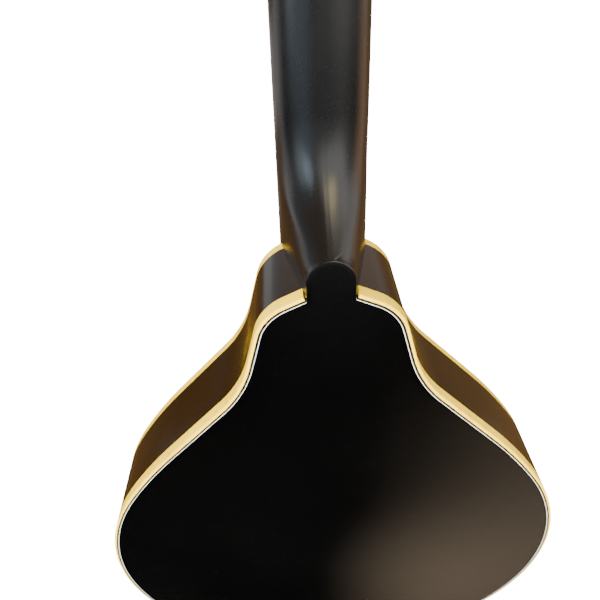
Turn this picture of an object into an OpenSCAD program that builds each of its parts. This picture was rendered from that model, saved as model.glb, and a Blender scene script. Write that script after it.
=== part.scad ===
// Carved A-style mandolin, hung by its neck: +Z runs up the neck, the strings face -Y.
// Sub-parts are drawn in a body frame whose origin is where the neck meets the front rim,
// and every node is then moved so that the hanger point under the headstock is the origin.

/* [Body] */
// Half width of the body where its shoulders begin
shoulder_x = 18; // [17.5:0.1:18.5]
// Slope of the shoulder where it leaves the neck, in degrees
shoulder_slope = 25.7; // [24:0.1:27]
// Radius of the shoulder
shoulder_r = 22.9; // [21:0.1:25]
// Radius of the concave waist below the shoulder
waist_r = 62; // [58:1:66]
// Radius of the lower bout's side
bout_r = 135.8; // [132:0.2:138]
// Depth over both bindings
body_depth = 44.6; // [43:0.2:47]
// Rise of the carved top over its edge
top_arch = 13.5; // [12:0.5:15]
// Rise of the carved back over its edge
back_arch = 8; // [6:0.5:10]
// Thickness of the ribs
rib_t = 2.4; // [2:0.1:3]

/* [Neck] */
// Scale length from nut to saddle
scale_len = 352; // [348:1:356]
// Distance from the nut to the body joint
neck_len = 204; // [200:1:206]
// Neck width at the nut
nut_w = 28.2; // [27:0.2:30]
// Neck width at the body joint
joint_w = 37.6; // [36:0.2:39]
// Angle of the neck behind the plane of the top, in degrees
neck_angle = 5.5; // [5:0.1:6]
// Angle of the headstock behind the neck, in degrees
head_angle = 13; // [11:0.5:15]
// Number of frets
fret_count = 20; // [17:1:21]

/* [Tuning machines] */
// Distance between posts along the headstock
post_pitch = 23; // [22:0.5:24]

/* [Hidden] */
$fn = 48;

black = [0.03, 0.03, 0.03];
ivory = [0.93, 0.86, 0.62];
spruce = [0.80, 0.66, 0.44];
ebony = [0.06, 0.05, 0.05];
nickel = [0.78, 0.77, 0.74];
pearl = [0.92, 0.91, 0.86];

// edge build-up
edge_t = 3.5;      // plate thickness at the edge
binding_w = 1.8;   // binding, seen from the front or back
front_binding_h = 5.4;
back_binding_h = 6;
purfling_w = 1;    // black and white lines inside the binding
plate_inset = binding_w + purfling_w;
crown_t = 5;       // plate thickness at the crown

// neck and fingerboard
neck_rise = 5.5;   // fingerboard glue plane above the front rim, at the joint
board_t = 5;
board_over = 50;   // fingerboard past the joint, over the top
neck_t_nut = 14.4;
neck_t_joint = 18;
head_blend = 24;   // length over which the shaft squares up to meet the headstock
heel_start = 62;   // where the shaft begins to swell into the heel
button_top = 19.2; // upper end of the back's button over the heel
button_half = 9.1;
nut_len = 5;
rod_r = 2.5;
rod_y = 4.2;       // truss rod's axis under the glue plane

// headstock
head_t = 14;
overlay_t = 2;
head_start = neck_len + nut_len;
first_post = 42;   // from the nut
post_x = 20;
post_r = 3;
bushing_r = 4.9;
bushing_in = 6;     // how far a bushing goes into the headstock

// tuning machine, measured from the headstock's back face
plate_t = 1.2;
worm_y = 4.6;      // height of the worm's axis over the headstock's back
gear_teeth = 15;
gear_r = 4.9;      // pitch radius
worm_r = 2.5;      // pitch radius
worm_out = 3.1;
worm_root = 1.75;
gear_half = 1.5;   // half of the gear's thickness
ear_in = 14.2;     // inner ear's inner face, from the headstock's centre line
ear_out = 24.6;
ear_t = 1.2;
shaft_r = 1.5;
knob_x = 41;

// strings
course_gap = 2.1;  // between the two strings of a course
string_r = [0.51, 0.33, 0.19, 0.14];
nut_spread = 11;   // half width between the outer courses
saddle_spread = 20;
action = 3.2;
fret_h = 1;

// bridge and tailpiece
saddle_z = neck_len - scale_len - 2;
stud_x = 32;
stud_r = 1.75;
wheel_r = 6;
wheel_t = 2.2;
hook_z = -300;
hook_lift = 8.5;

arc_step = 6;      // degrees between an arc's points

// ---- outlines ----

// Walks from p at heading h along [radius, turn] arcs and [length, 0] lines.
// Each point carries its heading.
function walk(p, h, segs, k = 0) =
  k == len(segs) ? [] :
  segs[k][1] == 0 ?
    let (n = ceil(segs[k][0] / 9), step = segs[k][0] / n * [cos(h), sin(h)], q = p + n * step)
    concat([for (i = [1:n]) concat(p + i * step, [h])], walk(q, h, segs, k + 1)) :
    let (r = segs[k][0], turn = segs[k][1], s = sign(turn), c = p + r * s * [-sin(h), cos(h)],
         n = ceil(max(abs(turn) / arc_step, abs(turn) * r / 600)), end = h + turn)
    concat([for (i = [1:n]) let (a = h + turn * i / n) concat(c + r * s * [sin(a), -cos(a)], [a])],
           walk(c + r * s * [sin(end), -cos(end)], end, segs, k + 1));

neck_end = 10.4;   // half width left open for the heel
body_start = [neck_end, (shoulder_x - neck_end) * tan(shoulder_slope)];
body_side = concat([concat(body_start, [-shoulder_slope])],
  walk(body_start, -shoulder_slope,
    [[(shoulder_x - neck_end) / cos(shoulder_slope), 0], [shoulder_r, -48.7], [17.2, 0],
     [waist_r, 27.4], [41.2, 0], [268, -9.2], [bout_r, -96.8]]));
bout_end = body_side[len(body_side) - 1];
tail_r = bout_end.x / -sin(bout_end[2]);
half_outline = concat(body_side,
  walk([bout_end.x, bout_end.y], bout_end[2], [[tail_r, -180 - bout_end[2]]]));
tail_z = half_outline[len(half_outline) - 1].y;

// The right half of the outline, moved inwards by e.
function inset(e) = [for (p = half_outline) [max(p.x + e * sin(p[2]), 0), p.y - e * cos(p[2])]];
function mirrored(pts) = [for (i = [len(pts) - 1:-1:0]) [-pts[i].x, pts[i].y]];
function flipped(pts) = [for (i = [len(pts) - 1:-1:0]) pts[i]];
function whole(pts) = concat(pts, mirrored([for (i = [0:len(pts) - 2]) pts[i]]));
function half_ring(a, b) = concat(inset(a), flipped(inset(b)));

// ---- arching ----

arch_centre = [0, -165];
plate_side = inset(plate_inset);
plate_end = plate_side[0].y;
arch_edge = concat([[0, plate_end]], plate_side);

function cross2(a, b) = a.x * b.y - a.y * b.x;
// Share of the way from the arch's centre to the plate's edge.
function edge_share(x, z) =
  let (d = [abs(x), z] - arch_centre,
       found = [for (i = [0:len(arch_edge) - 2])
         let (a = arch_edge[i] - arch_centre, b = arch_edge[i + 1] - arch_centre)
         if (cross2(a, d) <= 1e-6 && cross2(d, b) <= 1e-6 && cross2(a, b) < -1e-6)
           cross2(d, b - a) / cross2(a, b - a)])
  len(found) == 0 ? (abs(x) + abs(z - arch_centre.y) < 1e-3 ? 0 : 1) : found[0];
function bell(s) = (1 + cos(180 * min(s, 1))) / 2;
function carve_t(s) = edge_t + (crown_t - edge_t) * bell(s);
function top_y(x, z) = -top_arch * bell(edge_share(x, z));
function under_top_y(x, z) = top_y(x, z) + carve_t(edge_share(x, z));

ring_shares = [1, 0.9, 0.76, 0.6, 0.43, 0.26, 0.1];

// A carved plate: rings from its edge in to the centre, outside and inside.
// side is -1 for the front.
module carved_plate(rise, side, rim_y) {
  edge = whole(plate_side);
  n = len(edge);
  m = len(ring_shares);
  low = m * n;
  front = side < 0;
  function ring(s, inner) = [for (p = edge) let (q = arch_centre + s * (p - arch_centre))
    [q.x, rim_y + side * (rise * bell(s) - (inner ? carve_t(s) : 0)), q.y]];
  outer = [for (s = ring_shares) each ring(s, false)];
  inner = [for (s = ring_shares) each ring(s, true)];
  tips = [for (y = [rise, rise - crown_t]) [arch_centre.x, rim_y + side * y, arch_centre.y]];
  function skin(base, tip, clockwise) = concat(
    [for (k = [0:m - 2], i = [0:n - 1]) let (a = base + k * n + i, b = base + k * n + (i + 1) % n)
      each (clockwise ? [[a, b, b + n], [a, b + n, a + n]] : [[a, b + n, b], [a, a + n, b + n]])],
    [for (i = [0:n - 1]) let (a = base + (m - 1) * n + i, b = base + (m - 1) * n + (i + 1) % n)
      clockwise ? [a, b, tip] : [a, tip, b]]);
  wall = [for (i = [0:n - 1]) let (j = (i + 1) % n)
    each (front ? [[i, low + i, low + j], [i, low + j, j]] : [[i, j, low + j], [i, low + j, low + i]])];
  polyhedron(concat(outer, inner, tips),
             concat(skin(0, 2 * low, front), skin(low, 2 * low + 1, !front), wall));
}

// Joins rings of equal length, each anticlockwise as seen from the last ring, into a closed solid.
module loft(rings) {
  n = len(rings[0]);
  last = (len(rings) - 1) * n;
  sides = [for (k = [0:len(rings) - 2], i = [0:n - 1]) let (a = k * n + i, b = k * n + (i + 1) % n)
    each [[a, a + n, b + n], [a, b + n, b]]];
  ends = [[for (i = [0:n - 1]) i], [for (i = [n - 1:-1:0]) last + i]];
  polyhedron([for (ring = rings) each ring], concat(sides, ends));
}

// Extrudes an XZ outline from y0 to y1.
module slab(y0, y1) translate([0, y1, 0]) rotate([90, 0, 0]) linear_extrude(y1 - y0) children();

// Puts a body-frame part where the hanger point is the origin.
hanger = [0, 8, head_start];
hang_y = -neck_rise + hanger.y * cos(neck_angle) + hanger.z * sin(neck_angle);
hang_z = hanger.z * cos(neck_angle) - hanger.y * sin(neck_angle);
module placed() translate([0, -hang_y, -hang_z]) children();

// The neck's own frame: z along the fingerboard from the joint, y = 0 at the glue plane.
module on_neck() translate([0, -neck_rise, 0]) rotate([-neck_angle, 0, 0]) children();
function neck_to_body(y, z) =
  [-neck_rise + y * cos(neck_angle) + z * sin(neck_angle), z * cos(neck_angle) - y * sin(neck_angle)];
// The headstock's frame: z from the nut to the tip, y = 0 where the overlay is glued.
module on_head() on_neck() translate([0, 0, head_start]) rotate([-head_angle, 0, 0]) children();
function head_to_neck(y, z) =
  [y * cos(head_angle) + z * sin(head_angle), head_start + z * cos(head_angle) - y * sin(head_angle)];

// ---- body ----

module f_hole(side) {
  path = [for (t = [-1:0.1:1]) [side * (64 + 7 * t + 5.5 * sin(180 * t)), -133 - 30 * t]];
  half = [for (t = [-1:0.1:1]) 1.4 + 1.6 * (1 - t * t)];
  n = len(path);
  union() {
    polygon(concat([for (i = [0:n - 1]) path[i] + [half[i], 0]],
                   [for (i = [n - 1:-1:0]) path[i] - [half[i], 0]]));
    translate(path[0] + [side * 2.2, -1]) circle(r = 3.6);
    translate(path[n - 1] + [-side * 2.6, 1]) circle(r = 4.4);
  }
}

module top_plate() color(black) difference() {
  carved_plate(top_arch, -1, 0);
  for (side = [-1, 1]) slab(-top_arch - 2, 4) f_hole(side);
}

module back_plate() color(black) union() {
  carved_plate(back_arch, 1, body_depth);
  slab(body_depth - edge_t, body_depth) intersection() {
    translate([-button_half, plate_end]) square([2 * button_half, button_top]);
    union() {
      translate([-button_half, 0]) square([2 * button_half, button_top - button_half]);
      translate([0, button_top - button_half]) circle(r = button_half);
    }
  }
}

module pin_hole(from, to) translate([0, pin_y, tail_z + from]) cylinder(r = pin_hole_r, h = to - from);
module rib() color(black) difference() {
  union() {
    slab(front_binding_h, body_depth - back_binding_h) polygon(half_ring(0, rib_t));
    slab(edge_t, front_binding_h) polygon(half_ring(binding_w, rib_t));
    slab(body_depth - back_binding_h, body_depth - edge_t) polygon(half_ring(binding_w, rib_t));
  }
  pin_hole(-5, 10);
}
module bass_rib() mirror([1, 0, 0]) rib();
module treble_rib() rib();

module ring_pair(y0, y1, a, b) for (m = [0, 1]) mirror([m, 0, 0]) slab(y0, y1) polygon(half_ring(a, b));
module front_binding() color(ivory) ring_pair(0, front_binding_h, 0, binding_w);
module back_binding() color(ivory) ring_pair(body_depth - back_binding_h, body_depth, 0, binding_w);
module purfling() color("white") for (y = [0, body_depth - edge_t])
  ring_pair(y, y + edge_t, binding_w, plate_inset);

lining_w = 5;
lining_h = 6.5;
block_top = -36;   // neck block's lower end
block_half = 27;
tail_block_top = tail_z + 22;
module linings() color(spruce) for (y = [edge_t, body_depth - edge_t - lining_h]) difference() {
  ring_pair(y, y + lining_h, rib_t, rib_t + lining_w);
  slab(0, body_depth) translate([-60, block_top]) square([120, 60]);
  slab(0, body_depth) translate([-block_half, tail_z - 10])
    square([2 * block_half, tail_block_top - tail_z + 10]);
}

// Mortise for the neck's tenon.
mortise_half = 7.5;
mortise_y = [6.5, 37];
mortise_z = -22;
fit_gap = 0.2;
module neck_block() color(spruce) difference() {
  union() {
    intersection() {
      slab(edge_t, body_depth - edge_t) polygon(whole(inset(rib_t)));
      translate([-block_half, 0, block_top]) cube([2 * block_half, body_depth, 60]);
    }
    slab(edge_t, body_depth - edge_t) translate([-8.9, 0]) square([17.8, body_start.y - 0.1]);
  }
  translate([-mortise_half, mortise_y[0], mortise_z])
    cube([2 * mortise_half, mortise_y[1] - mortise_y[0], 60]);
}

pin_hole_r = 4;
pin_y = body_depth / 2;
module tail_block() color(spruce) difference() {
  intersection() {
    slab(edge_t, body_depth - edge_t) polygon(whole(inset(rib_t)));
    translate([-block_half, 0, tail_z - 1])
      cube([2 * block_half, body_depth, tail_block_top - tail_z + 1]);
  }
  pin_hole(-5, 40);
}

bar_x = 24;
bar_w = 6;
bar_gap = 0.35;
bar_zs = [for (k = [0:12]) -75 - 15 * k];
// Body y of a tone bar's glued face at height z.
function bar_y(z) = max([for (side = [-1, 1]) under_top_y(bar_x + side * bar_w / 2, z)]) + bar_gap;
module tone_bars() color(spruce) for (side = [-1, 1]) translate([side * bar_x, 0, 0]) {
  glued = [for (z = bar_zs) [bar_y(z), z]];
  free = [for (k = [12:-1:0]) glued[k] + [2.5 + 8 * sin(15 * k), 0]];
  translate([-bar_w / 2, 0, 0]) rotate([90, 0, 90]) linear_extrude(bar_w) polygon(concat(glued, free));
}

// ---- neck ----

function neck_half(z) = joint_w / 2 + (nut_w - joint_w) / 2 * z / neck_len;
function smooth(t) = let (c = min(max(t, 0), 1)) c * c * (3 - 2 * c);
function front_y(z) = -neck_rise + z * tan(neck_angle);
heel_cap_y = body_depth - edge_t;
function shaft_t(z) = neck_t_joint + (neck_t_nut - neck_t_joint) * z / neck_len;
head_end = (neck_len + nut_len) * cos(neck_angle);
// Turn along the button's round top, in degrees: 90 where it starts and 0 at its middle.
function button_turn(z) = acos(min(max((z - button_top + button_half) / button_half, 0), 1));
// How far the shaft has squared up to meet the headstock.
function square_mix(z) = smooth((z - head_end + head_blend) / head_blend);
// How far the shaft has swollen into the heel.
function heel_rise(z) = min(max((heel_start - z) / (heel_start - button_top), 0), 1);
// Half width of the flat along the back: the button's on the heel, a ridge on the shaft.
ridge_half = 0.8;
function back_half(z) = z < button_top ? max(ridge_half, button_half * sin(button_turn(z))) :
  ridge_half + (neck_half(z) - 0.4 - ridge_half) * square_mix(z);
// The same along the flanks, which round the button's shoulders off.
function flank_half(z) = z >= button_top ? back_half(z) :
  ridge_half + (button_half - ridge_half) * pow(sin(button_turn(z)), 2);
// Roundness of the flanks: nearly straight on the heel, slightly fuller than an ellipse above it.
function flank(z) = 1.45 - 0.5 * smooth(1 - heel_rise(z));
// How much higher a section's front edge stands than its middle, so the flanks run round the button.
heel_lean = 12;
function lean(z) = heel_lean * (z < button_top ? 1 - button_turn(z) / 90 : pow(heel_rise(z), 1.5));
function back_y(z) = let (s = front_y(z) + shaft_t(z)) s + (heel_cap_y - s) * pow(heel_rise(z), 2.6);

side_pts = 10;
cap_pts = 2;
// One half of the neck's section with its middle at height z, starting at the fingerboard's edge.
function half_section(z) =
  let (b = back_half(z), f = flank_half(z), p = flank(z), lift = lean(z), front = front_y(z + lift),
       back = back_y(z), spread = 1.6 - 0.6 * square_mix(z))
  concat([for (i = [0:side_pts])
            let (t = 90 * i / side_pts, deep = pow(sin(t), 0.9 * p), wide = pow(cos(t), p),
                 level = z + lift * (1 - deep), half = f + (b - f) * pow(1 - wide, 8))
            [neck_half(level) * wide + half * pow(1 - wide, spread), front + (back - front) * deep, level]],
         [for (i = [1:cap_pts]) [b * (1 - i / cap_pts), back, z]]);
function section(z) = let (h = half_section(z))
  concat(h, [for (i = [len(h) - 2:-1:0]) [-h[i].x, h[i].y, h[i].z]]);

neck_zs = concat([-9, 0, 5], [for (k = [0:4]) button_top - button_half * (1 - sin(90 * k / 4))],
                 [for (k = [1:10]) button_top + (heel_start - button_top) * pow(k / 10, 1.4)],
                 [for (k = [1:4]) heel_start + (head_end - head_blend - heel_start) * k / 4],
                 [for (k = [1:4]) head_end + 0.5 - head_blend * (1 - k / 4)]);
module neck_shaft() loft([for (z = neck_zs) section(z)]);

// Half of the headstock's outline, from the nut to the middle of the tip.
head_from = [nut_w / 2, -8];
head_side = walk(head_from, 90, [[9, 0], [20, -62], [16, 60.5], [92, 0], [8, 75]]);
head_last = head_side[len(head_side) - 1];
crown_turn = 180 - head_last[2];
head_half = concat([head_from], [for (p = head_side) [p.x, p.y]],
  [for (p = walk([head_last.x, head_last.y], head_last[2], [[head_last.x / sin(crown_turn), crown_turn]]))
    [max(p.x, 0), p.y]]);
module head_outline() polygon(whole(head_half));

// Pocket over the truss rod's nut: width, depth and length.
rod_pocket = [8, 8, 26];
module headstock() on_head() difference() {
  slab(0, head_t) head_outline();
  rotate([head_angle, 0, 0]) translate([-50, -50, -50]) cube([100, 100, 50]);
  for (i = [1:8]) translate([post_side(i) * post_x, -1, post_z(i)]) rotate([-90, 0, 0]) {
    cylinder(r = bushing_r, h = bushing_in + 1);
    cylinder(r = post_r + 0.6, h = head_t + 2);
  }
  translate([-rod_pocket[0] / 2, -1, -5]) cube([rod_pocket[0], rod_pocket[1] + 1, rod_pocket[2] + 5]);
}

module neck() color(black) {
  difference() {
    union() {
      difference() {
        neck_shaft();
        slab(-40, 80) polygon(whole(inset(0)));
      }
      translate([fit_gap - mortise_half, mortise_y[0] + fit_gap, mortise_z + fit_gap])
        cube([2 * (mortise_half - fit_gap), mortise_y[1] - mortise_y[0] - 2 * fit_gap, 7 - mortise_z]);
      on_neck() translate([-13.5, 0, 2 - board_over]) cube([27, 3.5, board_over + 8]);
    }
    on_neck() translate([0, rod_y, rod_from]) cylinder(r = rod_r, h = head_start);
    on_neck() translate([-50, -60, head_start]) cube([100, 120, 20]);
  }
  headstock();
}

module fingerboard() color(ebony) on_neck() difference() {
  slab(-board_t, 0) polygon([for (p = [[1, neck_len], [1, -board_over], [-1, -board_over], [-1, neck_len]])
    [p.x * neck_half(p.y), p.y]]);
  for (k = [1:fret_count]) let (z = fret_z(k))
    translate([-30, -board_t - 1, z - 0.3]) cube([60, 2.7, 0.6]);
  for (p = marker_places) translate([p.x, -board_t - 1, p.y]) rotate([-90, 0, 0])
    cylinder(r = marker_r, h = 2);
}

function fret_z(k) = neck_len - scale_len * (1 - pow(2, -k / 12));
fret_w = 2;
module frets() color(nickel) on_neck() for (k = [1:fret_count]) {
  z = fret_z(k);
  w = neck_half(z) - 0.2;
  crown = [for (a = [0:20:180]) [-board_t - fret_h * sin(a), z + fret_w / 2 * cos(a)]];
  translate([-w, 0, 0]) rotate([90, 0, 90]) linear_extrude(2 * w)
    polygon(concat(crown, [[-board_t, z - 0.3], [-board_t + 1.5, z - 0.3], [-board_t + 1.5, z + 0.3],
                           [-board_t, z + 0.3]]));
}

marker_r = 2.5;
function between(k) = (fret_z(k) + fret_z(k - 1)) / 2;
marker_places = concat([for (k = [5, 7, 10, 15]) [0, between(k)]],
                       [for (s = [-1, 1]) [7 * s, between(12)]]);
module fret_markers() color(pearl) on_neck() for (p = marker_places)
  translate([p.x, -board_t, p.y]) rotate([-90, 0, 0]) cylinder(r = marker_r, h = 1);

nut_top = board_t + fret_h + 0.6;
module nut() color(ivory) on_neck() difference() {
  w = neck_half(neck_len);
  translate([-w, -nut_top - 0.8, neck_len]) cube([2 * w, nut_top + 0.8, nut_len]);
  for (i = [0:7]) translate([nut_x(i), -nut_top - 2, neck_len - 1])
    translate([-course_radius(i) - 0.08, 0, 0]) cube([2 * course_radius(i) + 0.16, 2, nut_len + 2]);
}

module headstock_overlay() color(black) on_head() difference() {
  slab(-overlay_t, 0) intersection() {
    head_outline();
    translate([-50, 0.1]) square([100, 200]);
  }
  for (i = [1:8]) translate([post_side(i) * post_x, -5, post_z(i)]) rotate([-90, 0, 0])
    cylinder(r = bushing_r, h = 10);
  translate([-rod_pocket[0] / 2, -5, -1]) cube([rod_pocket[0], 10, rod_pocket[2] + 1]);
  for (p = cover_screw_places) translate([p.x, -5, p.y]) rotate([-90, 0, 0]) cylinder(r = 0.9, h = 10);
}

rod_from = 8;
rod_end = head_start + 3.5;
module truss_rod() color(nickel) on_neck()
  translate([0, rod_y, rod_from]) cylinder(r = rod_r - 0.05, h = rod_end - rod_from);
module truss_nut() color("goldenrod") on_neck() translate([0, rod_y, rod_end]) difference() {
  cylinder(r = 2.8, h = 6);
  translate([0, 0, 2]) cylinder(r = 1.6, h = 6, $fn = 6);
}

cover_half = 8;
cover_len = 27;
cover_z = 5;
cover_screw_places = [[-6, 8], [6, 8], [0, 29.5]];
module truss_cover() color(ebony) on_head() difference() {
  slab(-overlay_t - 1.4, -overlay_t) {
    translate([-cover_half, cover_z]) square([2 * cover_half, 8]);
    polygon([[-cover_half, cover_z + 8], [cover_half, cover_z + 8],
             [4, cover_z + cover_len - 4], [-4, cover_z + cover_len - 4]]);
    translate([0, cover_z + cover_len - 4]) circle(r = 4);
  }
  for (p = cover_screw_places) translate([p.x, -5, p.y]) rotate([-90, 0, 0]) cylinder(r = 0.9, h = 10);
}

// A round-head screw along +Y, its head's underside at y = 0.
module screw(head_r, shank_r, len) rotate([-90, 0, 0]) {
  translate([0, 0, -0.9]) cylinder(r1 = head_r * 0.7, r2 = head_r, h = 0.9);
  cylinder(r = shank_r, h = len);
}
module cover_screws() color(nickel) on_head() for (p = cover_screw_places)
  translate([p.x, -overlay_t - 1.4, p.y]) screw(1.7, 0.9, 3.2);

// ---- tuning machines ----

function post_side(i) = i <= 4 ? -1 : 1;
function post_z(i) = first_post + ((i - 1) % 4) * post_pitch;
worm_z = -(gear_r + worm_r);   // worm axis, from the post's axis along the headstock
module at_post(i) on_head() translate([post_side(i) * post_x, 0, post_z(i)])
  mirror([post_side(i) < 0 ? 1 : 0, 0, 0]) children();

plate_x = 21;
plate_half = 7.6;
plate_from = -17.5;
plate_to = 3 * post_pitch + 12.5;
ear_half = 3.4;
// Screws hold the plate below the first worm and beside each gear.
plate_screws = concat([[plate_x, plate_from + 3]], [for (k = [0:3]) [plate_x + 5.2, k * post_pitch + 8.7]]);
module tuner_plate() color(nickel) on_head() translate([0, head_t, first_post]) difference() {
  union() {
    translate([plate_x - plate_half, 0, plate_from]) cube([2 * plate_half, plate_t, plate_to - plate_from]);
    for (k = [0:3], x = [ear_in, ear_out]) translate([x, 0, k * post_pitch + worm_z - ear_half])
      cube([ear_t, worm_y + ear_half, 2 * ear_half]);
  }
  for (k = [0:3]) {
    translate([post_x, -1, k * post_pitch]) rotate([-90, 0, 0]) cylinder(r = post_r + 0.05, h = 5);
    translate([ear_in - 2, worm_y, k * post_pitch + worm_z]) rotate([0, 90, 0])
      cylinder(r = shaft_r + 0.05, h = 16);
  }
  for (p = plate_screws) translate([p.x, -1, p.y]) rotate([-90, 0, 0]) cylinder(r = 1.2, h = 5);
}
module bass_tuner_plate() mirror([1, 0, 0]) tuner_plate();
module treble_tuner_plate() tuner_plate();

module tuner_screws() color(nickel) on_head() for (side = [-1, 1], p = plate_screws)
  translate([side * p.x, head_t + plate_t, first_post + p.y]) rotate([180, 0, 0]) screw(2, 1.15, 8);

module post_bushings() color(nickel) on_head() for (i = [1:8])
  translate([post_side(i) * post_x, -overlay_t, post_z(i)]) rotate([-90, 0, 0]) difference() {
    union() {
      translate([0, 0, -1]) cylinder(r = 6.4, h = 1);
      cylinder(r = bushing_r, h = overlay_t + bushing_in);
    }
    translate([0, 0, -2]) cylinder(r = post_r + 0.05, h = 12);
  }

worm_lead = 2 * PI * gear_r / gear_teeth;
worm_len = ear_out - ear_in - ear_t - 0.5;
worm_facets = 12;
worm_steps = 6;      // rings in one lead
// Radius of the worm where the thread's phase is p, in leads.
function thread_r(p) = let (q = abs(p - round(p)) * worm_lead)
  q < 0.18 ? worm_out : q > 0.62 ? worm_root : worm_out + (worm_root - worm_out) * (q - 0.18) / 0.44;
// Worm along X; a gap of its thread faces +Z at its middle.
module worm() {
  rows = ceil(worm_len / worm_lead * worm_steps);
  n = worm_facets;
  loft([for (k = [0:rows]) let (x = worm_len * (k / rows - 0.5)) [for (i = [0:n - 1])
    let (r = k == 0 || k == rows ? worm_root : thread_r(x / worm_lead + i / n + 0.25))
    [x, r * cos(360 * i / n), r * sin(360 * i / n)]]]);
}

knob_len = 12;
shaft_in = 8;        // how far the shaft goes into the knob
module worm_shaft(i) color(nickel) at_post(i) translate([0, head_t + worm_y, worm_z]) {
  worm();
  translate([ear_in - 1 - post_x, 0, 0]) rotate([0, 90, 0])
    cylinder(r = shaft_r, h = knob_x + shaft_in - ear_in + 1);
}

knob_t = 5.5;
module tuner_knob(i) color(pearl)
  at_post(i) translate([knob_x - post_x, head_t + worm_y, worm_z]) difference() {
    union() {
      translate([-3, 0, 0]) rotate([0, 90, 0]) cylinder(r = 2.7, h = 4);
      for (z = [-3, 3]) translate([knob_len / 2, knob_t / 2, z]) rotate([90, 0, 0])
        cylinder(r = knob_len / 2, h = knob_t);
      translate([0, -knob_t / 2, -3]) cube([knob_len, knob_t, 6]);
    }
    translate([-4, 0, 0]) rotate([0, 90, 0]) cylinder(r = shaft_r, h = shaft_in + 4);
  }

post_top = -overlay_t - 11;
waist_from = -overlay_t - 8.5;
waist_to = -overlay_t - 3;
waist_r_post = 2.5;
gear_y = worm_y - gear_half;   // gear's front face over the headstock's back
// Gear outline: flat-topped teeth between root and outer radius.
module gear_outline() {
  root = 4.15;
  outer = 5.35;
  step = 360 / gear_teeth;
  polygon([for (k = [0:gear_teeth - 1], c = [[root, -6.5], [outer, -3], [outer, 3], [root, 6.5]])
    c[0] * [cos(k * step + c[1]), sin(k * step + c[1])]]);
}
module string_post(i) color(nickel) at_post(i) {
  wrap_r = waist_r_post + post_string_r(i);
  wrap_h = min(8 * post_string_r(i), 3.2);
  back = head_t + plate_t + 0.05;
  gear_back = head_t + gear_y + 2 * gear_half;
  difference() {
    rotate([-90, 0, 0]) rotate_extrude() polygon([
      [0, post_top], [post_r - 0.5, post_top], [post_r, post_top + 0.5], [post_r, waist_from],
      [waist_r_post, waist_from + 0.6], [waist_r_post, waist_to - 0.6 - wrap_h],
      [wrap_r, waist_to - 0.6 - wrap_h], [wrap_r, waist_to - 0.6],
      [waist_r_post, waist_to - 0.6], [post_r, waist_to],
      [post_r, back], [3.9, back], [3.9, head_t + gear_y + 0.5], [0, head_t + gear_y + 0.5]]);
    translate([0, waist_from + 1.3, -6]) cylinder(r = 0.7, h = 12);
  }
  translate([0, gear_back, 0]) rotate([90, 0, 0]) linear_extrude(2 * gear_half)
    rotate(-90) gear_outline();
  translate([0, gear_back - 0.5, 0]) rotate([-90, 0, 0]) cylinder(r1 = 2.6, r2 = 2, h = 1.6);
}

// ---- strings ----

// Strings run 0 to 7 from the bass side. Post numbers 1 to 4 are on the bass side from the nut up.
function course(i) = floor(i / 2);
function course_radius(i) = string_r[course(i)];
function spread_x(i, spread) =
  -spread + course(i) * spread * 2 / 3 + (i % 2 == 0 ? -course_gap / 2 : course_gap / 2);
function nut_x(i) = spread_x(i, nut_spread);
function saddle_x(i) = spread_x(i, saddle_spread);
function post_of(i) = i < 4 ? i + 1 : 12 - i;
function post_string_r(p) = course_radius(p <= 4 ? p - 1 : 12 - p);
function hook_x(i) = -14 + 4 * i;

saddle_top = board_t + fret_h + action + 0.3;
string_gap = 0.1;    // keeps the strings just off the saddle's crest
// Body y and z of a string of radius r at height h over the fingerboard's glue plane.
function lifted(r, h, z) = neck_to_body(-(h + r), z);
saddle_point = neck_to_body(-saddle_top, saddle_z);

function string_points(i) =
  let (r = course_radius(i), s = lifted(r, saddle_top + string_gap, saddle_z),
       n1 = lifted(r, nut_top, neck_len), n2 = lifted(r, nut_top, neck_len + nut_len),
       p = post_of(i), side = post_side(p), reach = waist_r_post + 3 * r + 0.06,
       hp = head_to_neck(waist_to - 0.6 - r, post_z(p)), b = neck_to_body(hp[0], hp[1]))
  [[hook_x(i), -hook_lift, hook_z], [saddle_x(i), s[0], s[1]],
   [nut_x(i), n1[0], n1[1]], [nut_x(i), n2[0], n2[1]], [side * (post_x - reach), b[0], b[1]]];

// An eight-sided string through its points, mitred where it bends.
function unit(v) = v / norm(v);
function along(pts, k) = unit(unit(pts[min(k + 1, len(pts) - 1)] - pts[min(k, len(pts) - 2)]) +
                              unit(pts[max(k, 1)] - pts[max(k - 1, 0)]));
module string(i) {
  pts = string_points(i);
  loft([for (k = [0:len(pts) - 1])
    let (t = along(pts, k), u = unit([1, 0, 0] - t.x * t), v = cross(t, u))
    [for (a = [22.5:45:360]) pts[k] + course_radius(i) / cos(22.5) * (cos(a) * u + sin(a) * v)]]);
}
module wound_strings() color([0.72, 0.52, 0.30]) for (i = [0:3]) string(i);
module plain_strings() color(nickel) for (i = [4:7]) string(i);

// ---- bridge ----

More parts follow.
